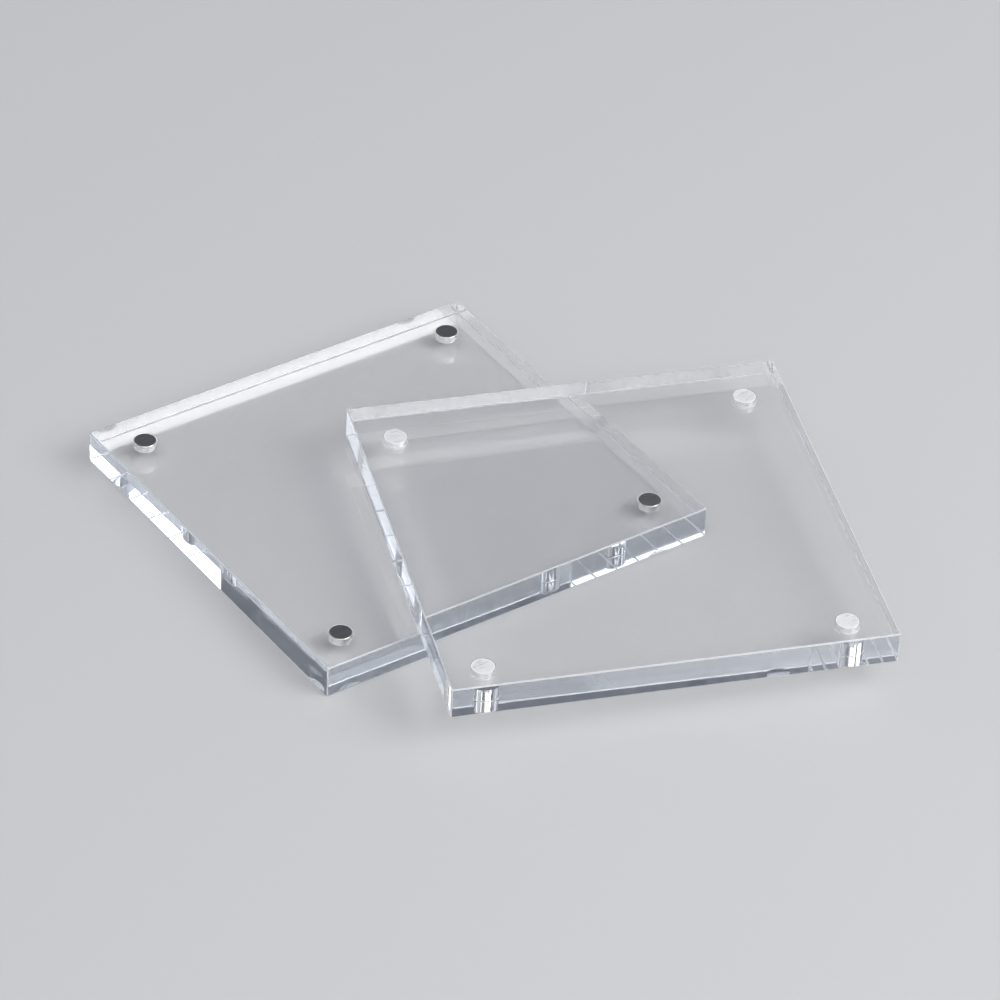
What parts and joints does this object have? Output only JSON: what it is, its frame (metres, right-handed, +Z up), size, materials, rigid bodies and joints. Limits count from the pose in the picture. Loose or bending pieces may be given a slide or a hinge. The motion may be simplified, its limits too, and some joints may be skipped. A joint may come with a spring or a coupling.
{
  "type": "acrylic block photo frame",
  "caption": "Clear acrylic block photo frame: square slabs with polished, bevelled edges and disc magnets set in their inner faces, open, with the front slab laid across the rear one.",
  "frame": {"origin": "centre of the rear panel's underside, which lies on the table", "axes": "+X to the rear panel's right and +Y to its back as it lies, square to its edges, and +Z up, out of its inner face"},
  "size_m": [0.2157, 0.2456, 0.0262],
  "materials": {
    "clear_acrylic": "polished",
    "nickel_plating": "polished",
    "cured_adhesive": "matte"
  },
  "bodies": {
    "rear": {"rear_panel": "clear_acrylic", "rear_magnet_top_left": "nickel_plating", "rear_magnet_top_right": "nickel_plating", "rear_magnet_bottom_left": "nickel_plating", "rear_magnet_bottom_right": "nickel_plating", "rear_adhesive_top_left": "cured_adhesive", "rear_adhesive_top_right": "cured_adhesive", "rear_adhesive_bottom_left": "cured_adhesive", "rear_adhesive_bottom_right": "cured_adhesive"},
    "front": {"front_panel": "clear_acrylic", "front_magnet_top_left": "nickel_plating", "front_magnet_top_right": "nickel_plating", "front_magnet_bottom_left": "nickel_plating", "front_magnet_bottom_right": "nickel_plating", "front_adhesive_top_left": "cured_adhesive", "front_adhesive_top_right": "cured_adhesive", "front_adhesive_bottom_left": "cured_adhesive", "front_adhesive_bottom_right": "cured_adhesive"}
  },
  "joints": [
    {"name": "front_panel_lift", "type": "slide", "parent": "rear", "child": "front", "axis": [0, 0, 1], "range_m": [0, 0.06]}
  ]
}
